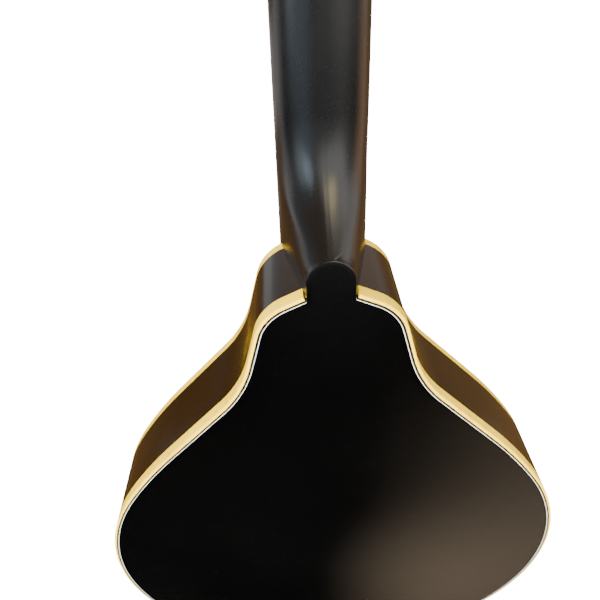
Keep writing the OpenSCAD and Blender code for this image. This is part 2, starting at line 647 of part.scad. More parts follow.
bridge_half = 52;
bridge_w = 10;
base_mid_t = 4;
foot_z = saddle_point[1];
function foot_y(x) =
  min(top_y(x, foot_z - bridge_w / 2), top_y(x, foot_z + bridge_w / 2)) - 0.15;
base_top_y = foot_y(0) - base_mid_t;
foot_inner = 14;     // feet stand outside this half width
stud_sunk = 3;
module bridge_base() color(ebony) difference() {
  translate([0, 0, foot_z - bridge_w / 2]) linear_extrude(bridge_w) polygon(concat(
    [for (x = [-bridge_half:4:bridge_half]) [x, abs(x) < foot_inner ? foot_y(foot_inner) - 1.2 : foot_y(x)]],
    [[bridge_half, foot_y(bridge_half) - 2.6], [stud_x + 8, base_top_y], [-stud_x - 8, base_top_y],
     [-bridge_half, foot_y(bridge_half) - 2.6]]));
  for (side = [-1, 1]) at_stud(side, base_top_y + stud_sunk) cylinder(r = stud_r, h = 10);
}

// Turns +Z of a part at a stud outwards, from height y.
module at_stud(side, y) translate([side * stud_x, y, foot_z]) rotate([90, 0, 0]) children();
wheel_gap = 2;       // between the thumbwheel and the base
stud_in = 3.2;       // how far a stud reaches into the saddle
wheel_y = base_top_y - wheel_gap;
saddle_base_y = wheel_y - wheel_t - 0.05;
module bridge_studs() color(nickel) for (side = [-1, 1]) at_stud(side, base_top_y + stud_sunk)
  cylinder(r = stud_r, h = base_top_y + stud_sunk - saddle_base_y + stud_in);

module thumbwheel(side) color(nickel) at_stud(side, wheel_y) difference() {
  cylinder(r = wheel_r, h = wheel_t);
  translate([0, 0, -1]) cylinder(r = stud_r + 0.05, h = wheel_t + 2);
  for (a = [0:20:340]) rotate(a) translate([wheel_r + 0.3, 0, -1]) cylinder(r = 0.6, h = wheel_t + 2);
}
module bass_thumbwheel() thumbwheel(-1);
module treble_thumbwheel() thumbwheel(1);

saddle_half = 40;
saddle_w = 7;
crest_w = 1;
module saddle() color(ebony) difference() {
  intersection() {
    translate([0, 0, foot_z - saddle_w / 2]) linear_extrude(saddle_w) polygon([
      [-saddle_half, saddle_base_y], [saddle_half, saddle_base_y], [saddle_half, saddle_base_y - 5],
      [saddle_spread + 8, saddle_point[0] + 0.3], [saddle_spread + 5, saddle_point[0]],
      [-saddle_spread - 5, saddle_point[0]], [-saddle_spread - 8, saddle_point[0] + 0.3],
      [-saddle_half, saddle_base_y - 5]]);
    translate([-saddle_half - 1, 0, foot_z]) rotate([90, 0, 90]) linear_extrude(2 * saddle_half + 2)
      polygon([
        [saddle_base_y + 1, -saddle_w / 2], [saddle_base_y - 3.5, -saddle_w / 2],
        [saddle_point[0], -crest_w / 2], [saddle_point[0], crest_w / 2],
        [saddle_base_y - 3.5, saddle_w / 2], [saddle_base_y + 1, saddle_w / 2]]);
  }
  for (side = [-1, 1]) at_stud(side, saddle_base_y + 1) cylinder(r = stud_r + 0.1, h = stud_in + 3);
}

// ---- tailpiece ----

tail_w = 36;
tail_top_y = -5.6;
tail_plate_t = 1.2;
tail_from = -283;
tail_face = tail_z - 0.2;
module tailpiece_base() color(nickel) difference() {
  union() {
    translate([-tail_w / 2, tail_top_y, tail_face - tail_plate_t]) {
      cube([tail_w, tail_plate_t, tail_from - tail_face + tail_plate_t]);
      cube([tail_w, 38 - tail_top_y, tail_plate_t]);
    }
    for (i = [0:7]) translate([hook_x(i) + string_r[0] + 0.75, tail_top_y + 0.2, hook_z + 1])
      rotate([90, 0, 0]) cylinder(r = 0.7, h = 5);
  }
  pin_hole(-5, 5);
  for (p = tail_screw_places) translate([p.x, p.y, tail_face - 5]) cylinder(r = 1.3, h = 10);
}
tail_screw_places = [[-12, 34], [12, 34], [-12, 10], [12, 10]];
module tailpiece_screws() color(nickel) for (p = tail_screw_places)
  translate([p.x, p.y, tail_face - tail_plate_t]) rotate([90, 0, 0]) screw(2.4, 1.25, 12);

tail_cover_t = 1;
tail_cover_top = tail_top_y - 7.5;
module tailpiece_cover() color(nickel) {
  w = tail_w / 2 + tail_cover_t + 0.2;
  low = tail_top_y + 3;
  from = tail_from - 1;
  end = tail_face - tail_plate_t - 0.4;
  difference() {
    translate([-w, tail_cover_top, end - tail_cover_t])
      cube([2 * w, low - tail_cover_top, from - end + tail_cover_t]);
    translate([tail_cover_t - w, tail_cover_top + tail_cover_t, end])
      cube([2 * (w - tail_cover_t), 20, 200]);
  }
}

module end_pin() color(ebony) translate([0, pin_y, tail_face - tail_plate_t]) rotate([180, 0, 0])
  rotate_extrude() polygon([
    [0, -22], [pin_hole_r, -22], [pin_hole_r, 0], [8, 0], [8, 1.6], [5.2, 3], [4.6, 6], [5.4, 8.5],
    [7, 10], [7, 13], [6, 14], [0, 14]]);

// ---- assembly ----

placed() top_plate();
placed() back_plate();
placed() bass_rib();
placed() treble_rib();
placed() front_binding();
placed() back_binding();
placed() purfling();
placed() linings();
placed() neck_block();
placed() tail_block();
placed() tone_bars();
placed() neck();
placed() fingerboard();
placed() frets();
placed() fret_markers();
placed() nut();
placed() headstock_overlay();
placed() truss_rod();
placed() truss_nut();
placed() truss_cover();
placed() cover_screws();
placed() post_bushings();
placed() bass_tuner_plate();
placed() treble_tuner_plate();
placed() tuner_screws();
placed() bridge_base();
placed() bridge_studs();
placed() saddle();
placed() bass_thumbwheel();
placed() treble_thumbwheel();
placed() tailpiece_base();
placed() tailpiece_cover();
placed() tailpiece_screws();
placed() end_pin();
placed() wound_strings();
placed() plain_strings();
for (i = [1:8]) placed() worm_shaft(i);
for (i = [1:8]) placed() tuner_knob(i);
for (i = [1:8]) placed() string_post(i);
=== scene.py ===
"""Looks of the mandolin: smooth carved body, bindings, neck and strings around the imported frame."""

import math

import bmesh
import bpy
import numpy as np
from mathutils import Matrix, Vector


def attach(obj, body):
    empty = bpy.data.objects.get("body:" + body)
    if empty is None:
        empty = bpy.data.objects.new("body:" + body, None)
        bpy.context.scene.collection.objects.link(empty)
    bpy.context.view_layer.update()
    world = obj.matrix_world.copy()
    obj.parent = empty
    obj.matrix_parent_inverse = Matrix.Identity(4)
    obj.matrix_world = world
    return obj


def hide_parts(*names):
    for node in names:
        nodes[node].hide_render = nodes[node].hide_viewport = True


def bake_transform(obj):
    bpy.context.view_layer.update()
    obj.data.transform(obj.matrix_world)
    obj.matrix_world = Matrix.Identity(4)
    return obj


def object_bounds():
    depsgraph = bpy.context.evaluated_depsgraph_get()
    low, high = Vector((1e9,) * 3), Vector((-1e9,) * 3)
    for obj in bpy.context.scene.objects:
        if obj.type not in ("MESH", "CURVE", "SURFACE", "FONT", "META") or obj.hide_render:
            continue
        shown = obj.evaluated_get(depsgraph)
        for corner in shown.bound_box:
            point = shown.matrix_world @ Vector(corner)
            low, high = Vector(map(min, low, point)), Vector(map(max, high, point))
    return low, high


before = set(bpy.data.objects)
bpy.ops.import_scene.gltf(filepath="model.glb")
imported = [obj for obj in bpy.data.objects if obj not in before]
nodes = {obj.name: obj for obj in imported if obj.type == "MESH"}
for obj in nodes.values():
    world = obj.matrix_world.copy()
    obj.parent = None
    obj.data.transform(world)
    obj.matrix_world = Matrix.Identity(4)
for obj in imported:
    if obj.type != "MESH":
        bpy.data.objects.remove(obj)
cad_low, cad_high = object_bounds()

# ---- sizes, in millimetres, in the body's frame: origin where the neck meets the front rim ----

MM = 0.001
BODY_DEPTH = 44.6
TOP_ARCH = 13.5
BACK_ARCH = 8.0
EDGE_T = 3.5
CROWN_T = 5.0
RIB_T = 2.4
BINDING_W = 1.8
FRONT_BINDING_H = 5.4
BACK_BINDING_H = 6.0
PLATE_INSET = 2.8
CREAM_W = BINDING_W - 0.5  # the black line takes the rest, so that it shows at the photograph's scale
BINDING_ROUND = 0.8
BLACK_LINE_W = 1.0
WHITE_LINE_W = 0.28
LINE_DEPTH = 2.0
NECK_END = 10.4          # half width where the bindings stop at the heel
SHOULDER = (18.0, 25.7)  # half width at the shoulder, and its slope in degrees
BODY_SIDE = [(22.9, -48.7), (17.2, 0), (62, 27.4), (41.2, 0), (268, -9.2), (135.8, -96.8)]
ARCH_CENTRE = np.array([0.0, -165.0])

NECK_RISE = 5.5
NECK_ANGLE = math.radians(5.5)
HEAD_ANGLE = math.radians(13)
NECK_LEN = 204.0
NUT_LEN = 5.0
HEAD_START = NECK_LEN + NUT_LEN
NUT_W = 28.2
JOINT_W = 37.6
NECK_T = (18.0, 14.4)    # at the joint and at the nut
HEEL_START = 62.0
HEAD_BLEND = 24.0
BUTTON_TOP = 19.2
BUTTON_HALF = 9.1
RIDGE_HALF = 0.8
HEEL_LEAN = 12.0
HEAD_T = 14.0
OVERLAY_T = 2.0
HANGER_Y = 8.0

SCALE = 352.0
STRING_R = (0.51, 0.33, 0.19, 0.14)
POST_X = 20.0
FIRST_POST = 42.0
POST_PITCH = 23.0
POST_WAIST_R = 2.5
POST_WAIST_TO = -OVERLAY_T - 3.6


def to_body(y, z):
    """Neck frame (y from the glue plane, z from the joint) to body frame."""
    c, s = math.cos(NECK_ANGLE), math.sin(NECK_ANGLE)
    return -NECK_RISE + y * c + z * s, z * c - y * s


HANGER = to_body(HANGER_Y, HEAD_START)


def row(points):
    """Body-frame millimetres to the row's frame in metres."""
    p = np.asarray(points, float).reshape(-1, 3).copy()
    p[:, 1] -= HANGER[0]
    p[:, 2] -= HANGER[1]
    return p * MM


# ---- outlines ----


def walk(start, heading, segments, step=1.0):
    """Points and headings along (radius, turn) arcs and (length, 0) lines."""
    p, h = np.array(start, float), math.radians(heading)
    points, headings = [p.copy()], [h]
    for size, turn in segments:
        t = math.radians(turn)
        length = size if turn == 0 else size * abs(t)
        n = max(2, math.ceil(length / step), math.ceil(abs(turn) / 2))
        for k in range(1, n + 1):
            if turn == 0:
                q, a = p + size * k / n * np.array([math.cos(h), math.sin(h)]), h
            else:
                side = math.copysign(size, t)
                a = h + t * k / n
                q = p + side * np.array([math.sin(a) - math.sin(h), math.cos(h) - math.cos(a)])
            points.append(q)
            headings.append(a)
        p, h = points[-1], headings[-1]
    return np.array(points), np.array(headings)


def body_outline():
    width, slope = SHOULDER
    drop = math.tan(math.radians(slope))
    start = (NECK_END, (width - NECK_END) * drop)
    lead = ((width - NECK_END) / math.cos(math.radians(slope)), 0)
    points, headings = walk(start, -slope, [lead, *BODY_SIDE])
    radius = points[-1][0] / -math.sin(headings[-1])
    tail, tail_h = walk(points[-1], math.degrees(headings[-1]), [(radius, -180 - math.degrees(headings[-1]))])
    return np.vstack([points, tail[1:]]), np.concatenate([headings, tail_h[1:]])


HALF, HEADING = body_outline()
TAIL_Z = HALF[-1][1]
NORMAL = np.stack([-np.sin(HEADING), np.cos(HEADING)], 1)


def inset(e):
    """The right half of the outline, moved inwards by e."""
    p = HALF - e * NORMAL
    p[:, 0] = np.maximum(p[:, 0], 0)
    return p


def around(half):
    """Both halves as one open path, from the neck's right side round the tail to its left side."""
    left = half[-2::-1] * np.array([-1, 1])
    return np.vstack([half, left])


def start_z(x):
    """Height at which the body's outline meets the neck, at half width x."""
    return np.interp(np.abs(x), [0, NECK_END, SHOULDER[0], SHOULDER[0] + 1.5], [HALF[0][1], HALF[0][1], 0, -1])


# ---- mesh helpers ----


def new_object(name, verts, faces, smooth=True):
    mesh = bpy.data.meshes.new(name)
    mesh.from_pydata([tuple(v) for v in verts], [], faces)
    mesh.validate()
    mesh.update()
    obj = bpy.data.objects.new(name, mesh)
    bpy.context.scene.collection.objects.link(obj)
    if smooth:
        mesh.polygons.foreach_set("use_smooth", [True] * len(mesh.polygons))
    return obj


def outward(obj):
    """Turns every face outwards."""
    bm = bmesh.new()
    bm.from_mesh(obj.data)
    bmesh.ops.recalc_face_normals(bm, faces=bm.faces)
    bm.to_mesh(obj.data)
    bm.free()
    return obj


def tube_faces(n, m, base=0):
    """Faces of n rings with m points each, with a cap on each end."""
    faces = []
    for k in range(n - 1):
        for i in range(m):
            a, b = base + k * m + i, base + k * m + (i + 1) % m
            faces.append((a, b, b + m, a + m))
    faces.append(tuple(base + i for i in range(m)))
    faces.append(tuple(base + (n - 1) * m + i for i in reversed(range(m))))
    return faces


def loft(name, rings):
    """A closed solid through rings of body-frame points."""
    rings = np.asarray(rings, float)
    n, m = rings.shape[:2]
    return outward(new_object(name, row(rings), tube_faces(n, m)))


def sharpen(obj, degrees=40):
    """Marks edges sharper than the angle, so that smooth shading breaks there."""
    bm = bmesh.new()
    bm.from_mesh(obj.data)
    limit = math.radians(degrees)
    for e in bm.edges:
        e.smooth = len(e.link_faces) == 2 and e.calc_face_angle(0) < limit
    bm.to_mesh(obj.data)
    bm.free()
    return obj


def bevel(obj, width, segments=3, degrees=35):
    """Rounds the edges sharper than the angle; width is in millimetres."""
    mod = obj.modifiers.new("soft_edges", "BEVEL")
    mod.width = width * MM
    mod.segments = segments
    mod.limit_method = "ANGLE"
    mod.angle_limit = math.radians(degrees)
    mod.harden_normals = True
    obj.modifiers.new("even_normals", "WEIGHTED_NORMAL").keep_sharp = True
    return obj


def weld(obj):
    """Joins the points that a CAD node's triangles share."""
    obj.modifiers.new("join", "WELD").merge_threshold = 0.001 * MM
    return obj


def applied(obj):
    """Applies the modifiers to the mesh."""
    depsgraph = bpy.context.evaluated_depsgraph_get()
    mesh = bpy.data.meshes.new_from_object(obj.evaluated_get(depsgraph))
    obj.modifiers.clear()
    obj.data = mesh
    return obj


# ---- materials ----


class Paint:
    """A principled material with helpers for procedural detail."""

    def __init__(self, name, colour, roughness, metallic=0.0, **inputs):
        self.material = bpy.data.materials.new(name)
        self.material.use_nodes = True
        self.tree = self.material.node_tree
        self.shader = self.tree.nodes["Principled BSDF"]
        self.shader.inputs["Base Color"].default_value = (*colour, 1)
        self.shader.inputs["Roughness"].default_value = roughness
        self.shader.inputs["Metallic"].default_value = metallic
        for key, value in inputs.items():
            self.shader.inputs[key.replace("_", " ")].default_value = value
        self.coords = self.tree.nodes.new("ShaderNodeTexCoord").outputs["Object"]
        self.heights = []

    def node(self, kind, **settings):
        made = self.tree.nodes.new(kind)
        for key, value in settings.items():
            setattr(made, key, value)
        return made

    def stretched(self, scale):
        mapping = self.node("ShaderNodeMapping")
        mapping.inputs["Scale"].default_value = scale
        self.tree.links.new(self.coords, mapping.inputs["Vector"])
        return mapping.outputs["Vector"]

    def noise(self, scale, detail=3.0, stretch=(1, 1, 1), rough=0.5):
        made = self.node("ShaderNodeTexNoise")
        made.inputs["Scale"].default_value = scale
        made.inputs["Detail"].default_value = detail
        made.inputs["Roughness"].default_value = rough
        self.tree.links.new(self.stretched(stretch), made.inputs["Vector"])
        return made.outputs["Fac"]

    def ramp(self, value, stops):
        made = self.node("ShaderNodeValToRGB")
        ramp = made.color_ramp
        while len(ramp.elements) < len(stops):
            ramp.elements.new(0.5)
        for element, (place, colour) in zip(ramp.elements, stops):
            element.position = place
            element.color = (*colour, 1)
        self.tree.links.new(value, made.inputs["Fac"])
        return made.outputs["Color"]

    def span(self, value, low, high, start, end):
        made = self.node("ShaderNodeMapRange")
        for key, number in (("From Min", start), ("From Max", end), ("To Min", low), ("To Max", high)):
            made.inputs[key].default_value = number
        self.tree.links.new(value, made.inputs["Value"])
        return made.outputs["Result"]

    def colour(self, value, stops):
        self.tree.links.new(self.ramp(value, stops), self.shader.inputs["Base Color"])
        return self

    def roughness(self, value, low, high, start=0.3, end=0.7):
        self.tree.links.new(self.span(value, low, high, start, end), self.shader.inputs["Roughness"])
        return self

    def bump(self, value, strength, distance):
        made = self.node("ShaderNodeBump")
        made.inputs["Strength"].default_value = strength
        made.inputs["Distance"].default_value = distance * MM
        self.tree.links.new(value, made.inputs["Height"])
        if self.heights:
            self.tree.links.new(self.heights[-1], made.inputs["Normal"])
        self.heights.append(made.outputs["Normal"])
        self.tree.links.new(made.outputs["Normal"], self.shader.inputs["Normal"])
        return self


def grey(*levels):
    return [(place, (v, v, v)) for place, v in levels]


def lacquer(name, deep, light, rough_low, rough_high, peel=0.05, specks=True):
    """Sprayed lacquer with faint orange peel, handling marks and a little dust."""
    p = Paint(name, deep, rough_low)
    p.colour(p.noise(14, 2), [(0.35, deep), (0.75, light)])
    p.roughness(p.noise(35, 5, rough=0.65), rough_low, rough_high)
    p.bump(p.noise(420, 2), peel, 0.05)
    if specks:
        dust = p.ramp(p.noise(700, 0), grey((0.0, 0), (0.775, 0), (0.79, 1)))
        p.bump(dust, 0.35, 0.03)
    return p.material


def wood(name, dark, light, stretch, scale, rough, bump=0.15):
    """Straight-grained wood; stretch flattens the grain along one axis."""
    p = Paint(name, dark, rough)
    grain = p.noise(scale, 6, stretch, 0.7)
    p.colour(grain, [(0.3, dark), (0.5, [(a + b) / 2 for a, b in zip(dark, light)]), (0.7, light)])
    p.roughness(p.noise(scale * 2, 4, stretch), rough - 0.08, rough + 0.1)
    p.bump(grain, bump, 0.08)
    return p.material


def metal(name, colour, low, high, brushed=(1, 1, 1), scale=90):
    p = Paint(name, colour, low, metallic=1.0)
    marks = p.noise(scale, 6, brushed, 0.7)
    p.roughness(marks, low, high)
    p.bump(marks, 0.03, 0.02)
    return p.material


def binding_paint():
    p = Paint("binding", (0.7, 0.46, 0.01), 0.25, Specular_IOR_Level=0.2)
    tone = p.noise(45, 5, (1, 1, 1), 0.6)
    p.colour(tone, [(0.3, (0.62, 0.39, 0.004)), (0.6, (0.72, 0.48, 0.008))])
    p.roughness(p.noise(160, 4), 0.2, 0.36)
    p.bump(p.noise(500, 3), 0.08, 0.04)
    return p.material


def purfling_paint(name, colour):
    p = Paint(name, colour, 0.3)
    p.colour(p.noise(300, 3), [(0.3, [0.85 * c for c in colour]), (0.7, colour)])
    p.roughness(p.noise(400, 3), 0.22, 0.4)
    return p.material


def pearl_paint():
    p = Paint("pearloid", (0.8, 0.77, 0.68), 0.2, Coat_Weight=0.5, Coat_Roughness=0.08)
    cells = p.node("ShaderNodeTexVoronoi")
    cells.inputs["Scale"].default_value = 320
    p.tree.links.new(p.stretched((1, 1, 1.6)), cells.inputs["Vector"])
    p.colour(cells.outputs["Distance"],
             [(0.1, (0.86, 0.83, 0.74)), (0.45, (0.70, 0.68, 0.60)), (0.8, (0.55, 0.53, 0.46))])
    p.roughness(p.noise(260, 3), 0.15, 0.3)
    p.bump(cells.outputs["Distance"], 0.05, 0.05)
    return p.material


def winding_paint():
    """Round wound wire: fine ridges across the string, with painted shade darkening the grooves between them.
    """
    p = Paint("bronze_winding", (0.72, 0.47, 0.24), 0.28, metallic=1.0)
    wave = p.node("ShaderNodeTexWave", bands_direction="Z", wave_profile="SIN")
    wave.inputs["Scale"].default_value = 900
    p.tree.links.new(p.coords, wave.inputs["Vector"])
    # painted shade: the colour darkens in the wave's troughs, the grooves between the turns, and brightens on
    # the crests
    p.colour(wave.outputs["Fac"], [(0.0, (0.30, 0.17, 0.07)), (0.5, (0.78, 0.53, 0.28))])
    p.roughness(p.noise(200, 3), 0.22, 0.4)
    p.bump(wave.outputs["Fac"], 0.8, 0.1)
    return p.material


BLACK = (0.0002, 0.0002, 0.0002)
PAINTS = {
    "back": lacquer("back_lacquer", BLACK, (0.0004, 0.0004, 0.0004), 0.1, 0.16),
    "ribs": lacquer("rib_lacquer", (0.004, 0.0018, 0.0005), (0.008, 0.0035, 0.001), 0.14, 0.22, 0.06, False),
    "neck": lacquer("neck_lacquer", (0.001, 0.001, 0.001), (0.0018, 0.0018, 0.0018), 0.24, 0.32, 0.05),
    "binding": binding_paint(),
    "white_line": purfling_paint("white_line", (0.60, 0.60, 0.57)),
    "black_line": purfling_paint("black_line", (0.004, 0.004, 0.004)),
    "spruce": wood("spruce", (0.42, 0.27, 0.12), (0.62, 0.45, 0.24), (1, 1, 0.04), 260, 0.65),
    "ebony": wood("ebony", (0.006, 0.005, 0.0045), (0.022, 0.017, 0.014), (1, 1, 0.05), 300, 0.38, 0.25),
    "bone": purfling_paint("bone", (0.74, 0.67, 0.50)),
    "pearl": pearl_paint(),
    "nickel": metal("nickel", (0.66, 0.63, 0.58), 0.1, 0.24),
    "steel": metal("steel", (0.60, 0.60, 0.61), 0.18, 0.32),
    "fret_wire": metal("fret_wire", (0.66, 0.64, 0.60), 0.14, 0.3, (0.1, 1, 1), 400),
    "brass": metal("brass", (0.70, 0.48, 0.18), 0.2, 0.35),
    "winding": winding_paint(),
}


def paint(obj, *keys):
    obj.data.materials.clear()
    for key in keys:
        obj.data.materials.append(PAINTS[key])
    return obj


def piece(obj, body, slot, *replaced):
    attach(obj, body)
    if replaced:
        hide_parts(*replaced)
    return obj


# ---- body ----


LEVEL_STEPS = 1440      # directions in which a level line's radius is kept
LEVEL_DAMPING = 0.35    # how fast level lines round off towards the centre
RIM_SHARE = 0.9         # level lines lie closer together outside this share of the radius
CENTRE_SHARE = 0.02


def bell(s):
    return (1 + np.cos(math.pi * np.minimum(s, 1))) / 2


def carved_plate(name, rise, side, rim_y):
    """A smooth carved plate whose level lines round off towards its centre."""
    edge = around(inset(PLATE_INSET))
    across = np.linspace(-1, 1, 17)[1:-1, None] * np.array([edge[0][0], 0]) + np.array([0, edge[0][1]])
    edge = np.vstack([edge, across])
    arm = edge - ARCH_CENTRE
    angle, radius = np.arctan2(arm[:, 1], arm[:, 0]), np.hypot(arm[:, 0], arm[:, 1])
    even = np.linspace(-math.pi, math.pi, LEVEL_STEPS, endpoint=False)
    order = np.argsort(angle)
    wave = np.fft.rfft(np.interp(even, angle[order], radius[order], period=2 * math.pi))
    damping = LEVEL_DAMPING * np.arange(len(wave))
    rim = 1 - (1 - RIM_SHARE) * (np.arange(12) / 12) ** 1.3
    shares = np.concatenate([rim, np.linspace(RIM_SHARE, CENTRE_SHARE, 40)])
    outer, inner = [], []
    for s in shares:
        rounder = np.fft.irfft(wave * s**damping, LEVEL_STEPS)
        level = radius if s == 1 else np.interp(angle, even, rounder, period=2 * math.pi)
        x = ARCH_CENTRE[0] + s * level * np.cos(angle)
        z = ARCH_CENTRE[1] + s * level * np.sin(angle)
        for rings, depth in ((outer, 0), (inner, EDGE_T + (CROWN_T - EDGE_T) * bell(s))):
            rings.append(np.stack([x, np.full_like(x, rim_y + side * (rise * bell(s) - depth)), z], 1))
    rings = np.array(outer[::-1] + inner)
    n, m = rings.shape[:2]
    return outward(new_object(name, row(rings), tube_faces(n, m)))


def sweep_rings(columns, profile):
    """The profile's (inset, y) points at each step of the outline; columns hold each point's (x, z)."""
    return [[(c[i][0], y, c[i][1]) for c, (_, y) in zip(columns, profile)] for i in range(len(columns[0]))]


def swept(name, profile):
    """Sweeps a closed profile of (inset, y) points round the whole body."""
    return loft(name, sweep_rings([around(inset(e)) for e, _ in profile], profile))


def rounded(width, y_outer, y_inner, radius, steps=6):
    """Binding's profile, rounded at its outer corner."""
    sign = math.copysign(1, y_outer - y_inner)
    arc = [(radius * (1 - math.sin(a)), y_outer - sign * radius * (1 - math.cos(a)))
           for a in np.linspace(0, math.pi / 2, steps + 1)]
    return [(width, y_inner), (width, y_outer), *arc, (0, y_inner)]


def make_body():
    top = carved_plate("top", TOP_ARCH, -1, 0)
    cutter = f_hole_cutters()
    cut = top.modifiers.new("f_holes", "BOOLEAN")
    cut.operation = "DIFFERENCE"
    cut.solver = "EXACT"
    cut.object = cutter
    applied(top)
    bpy.data.objects.remove(cutter)
    piece(paint(sharpen(top), "back"), "instrument", "back_lacquer", "top_plate")

    back = carved_plate("back", BACK_ARCH, 1, BODY_DEPTH)
    piece(paint(sharpen(back), "back"), "instrument", "back_lacquer", "back_plate")
    piece(paint(button(), "back"), "instrument", "back_lacquer", "back_plate")

    y0, y1 = FRONT_BINDING_H, BODY_DEPTH - BACK_BINDING_H
    for name, sign in (("treble_rib", 1), ("bass_rib", -1)):
        profile = [(0, y) for y in np.linspace(y0, y1, 6)] + [(RIB_T, y1), (RIB_T, y0)]
        rib = loft(name + "_shell", sweep_rings([inset(e) * (sign, 1) for e, _ in profile], profile))
        piece(paint(sharpen(rib), "ribs"), "instrument", "rib_lacquer", name)

    back_binding = swept("back_edge", rounded(CREAM_W, BODY_DEPTH, y1, BINDING_ROUND))
    piece(paint(sharpen(back_binding, 50), "binding"), "instrument", "binding", "back_binding")
    front_binding = swept("front_edge", rounded(CREAM_W, 0, y0, BINDING_ROUND))
    piece(paint(sharpen(front_binding, 50), "binding"), "instrument", "binding", "front_binding")

    white_from, white_to = CREAM_W + BLACK_LINE_W, CREAM_W + BLACK_LINE_W + WHITE_LINE_W
    lines = ((CREAM_W, white_from, "black_line", "a"), (white_from, white_to, "white_line", "b"),
             (white_to, PLATE_INSET, "black_line", "c"))
    for where, outer, inner in (("back", BODY_DEPTH, BODY_DEPTH - LINE_DEPTH), ("front", 0, LINE_DEPTH)):
        for start, end, key, mark in lines:
            strip = swept(f"{where}_line_{mark}", [(start, outer), (end, outer), (end, inner), (start, inner)])
            piece(paint(sharpen(strip), key), "instrument", "purfling", "purfling")


BUTTON_SINK = 0.002     # keeps its face off the plate's rim, which lies in the same plane
BUTTON_EDGE = ((3.5, 0), (0.5, 0), (0.25, 0.04), (0.1, 0.15), (0.03, 0.3), (0.0, 0.5), (0.0, 2.0))  # drop, pull


def button():
    """The back plate's button, over the heel."""
    top = BUTTON_TOP - BUTTON_HALF
    low = around(inset(PLATE_INSET))[0][1] - 3
    outline = [(BUTTON_HALF, low), (BUTTON_HALF, top)]
    for a in np.linspace(0, math.pi, 41)[1:-1]:
        outline.append((BUTTON_HALF * math.cos(a), top + BUTTON_HALF * math.sin(a)))
    outline += [(-BUTTON_HALF, top), (-BUTTON_HALF, low)]
    centre = np.array([0.0, (low + top) / 2])
    rings = []
    for edge_drop, pull in BUTTON_EDGE:
        ring = []
        for x, z in outline:
            side = np.array([x, z]) - centre
            shift = pull * side / np.linalg.norm(side)
            ring.append((x - shift[0], BODY_DEPTH - BUTTON_SINK - edge_drop, z - shift[1]))
        rings.append(ring)
    return sharpen(loft("heel_button", rings), 60)


F_HOLE_X, F_HOLE_Z = 64, -133
F_HOLE_HALF_LENGTH = 30
F_HOLE_LEAN, F_HOLE_CURL = 7, 5.5
F_HOLE_TIP, F_HOLE_SWELL = 1.4, 1.6     # half width at its ends, and what its middle adds
F_HOLE_EYES = ((0, 2.2, -1, 3.6), (-1, -2.6, 1, 4.4))  # end, shift outwards and up, radius


def f_hole_cutters():
    """Both f-holes as solids that pass through the top."""
    verts, faces = [], []
    steps = np.linspace(-1, 1, 61)
    half = np.array([F_HOLE_TIP + F_HOLE_SWELL * (1 - t * t) for t in steps])
    across = np.stack([half, 0 * half], 1)
    circle = np.linspace(0, 2 * math.pi, 40, endpoint=False)
    for side in (-1, 1):
        mid = np.array([(side * (F_HOLE_X + F_HOLE_LEAN * t + F_HOLE_CURL * math.sin(math.pi * t)),
                         F_HOLE_Z - F_HOLE_HALF_LENGTH * t) for t in steps])
        shapes = [np.vstack([mid + across, (mid - across)[::-1]])]
        for end, out, up, r in F_HOLE_EYES:
            shapes.append(mid[end] + (side * out, up) + r * np.stack([np.cos(circle), np.sin(circle)], 1))
        for shape in shapes:
            n = len(shape)
            rings = [np.stack([shape[:, 0], np.full(n, y), shape[:, 1]], 1) for y in (-20, 6)]
            faces += tube_faces(2, n, base=len(verts))
            verts += [tuple(v) for v in row(np.array(rings))]
    solid = outward(new_object("f_hole_cutter", verts, faces, smooth=False))
    join = solid.modifiers.new("join", "REMESH")
    join.mode = "VOXEL"
    join.voxel_size = 0.35 * MM
    return applied(solid)


# ---- neck ----


def neck_half(z):
    return JOINT_W / 2 + (NUT_W - JOINT_W) / 2 * z / NECK_LEN


def front_y(z):
    return -NECK_RISE + z * math.tan(NECK_ANGLE)


def smooth(t):
    t = np.clip(t, 0, 1)
    return t * t * (3 - 2 * t)


HEAD_END = HEAD_START * math.cos(NECK_ANGLE)
HEEL_CAP_Y = BODY_DEPTH - 0.5   # the heel ends just under the button's rounded edge


def half_section(z, count=48, cap=10):
    """One half of the neck's section, from the fingerboard's edge to the middle of its back, as (x, y, z).
    z is the height of its middle. Over the heel the section leans, so its front edge stands higher."""
    rise = np.clip((HEEL_START - z) / (HEEL_START - BUTTON_TOP), 0, 1)
    square = smooth((z - HEAD_END + HEAD_BLEND) / HEAD_BLEND)
    if z < BUTTON_TOP:
        turn = math.acos(max(z - BUTTON_TOP + BUTTON_HALF, 0) / BUTTON_HALF)
        lift = HEEL_LEAN * (1 - turn / (math.pi / 2))
        flat = max(RIDGE_HALF, BUTTON_HALF * math.sin(turn))
        soft = RIDGE_HALF + (BUTTON_HALF - RIDGE_HALF) * math.sin(turn) ** 2
    else:
        lift = HEEL_LEAN * rise**1.5
        flat = soft = RIDGE_HALF + (neck_half(z) - 0.4 - RIDGE_HALF) * square
    shaft = front_y(z) + NECK_T[0] + (NECK_T[1] - NECK_T[0]) * z / NECK_LEN
    back = shaft + (HEEL_CAP_Y - shaft) * rise**2.6
    power = 1.45 - 0.5 * smooth(1 - rise)
    t = np.linspace(0, math.pi / 2, count + 1)
    deep = np.sin(t) ** (0.9 * power)
    level = z + lift * (1 - deep)
    narrow = 1 - np.cos(t).clip(0) ** power
    inner = soft + (flat - soft) * narrow**8
    side_x = neck_half(level) * (1 - narrow) + inner * narrow ** (1.6 - 0.6 * square)
    side_y = front_y(z + lift) * (1 - deep) + back * deep
    across = np.stack([np.linspace(flat, 0, cap + 1)[1:], np.full(cap, back), np.full(cap, z)], 1)
    return np.vstack([np.stack([side_x, side_y, level], 1), across])


def section(z):
    half = half_section(z)
    return np.vstack([half, half[-2::-1] * np.array([-1, 1, 1])])


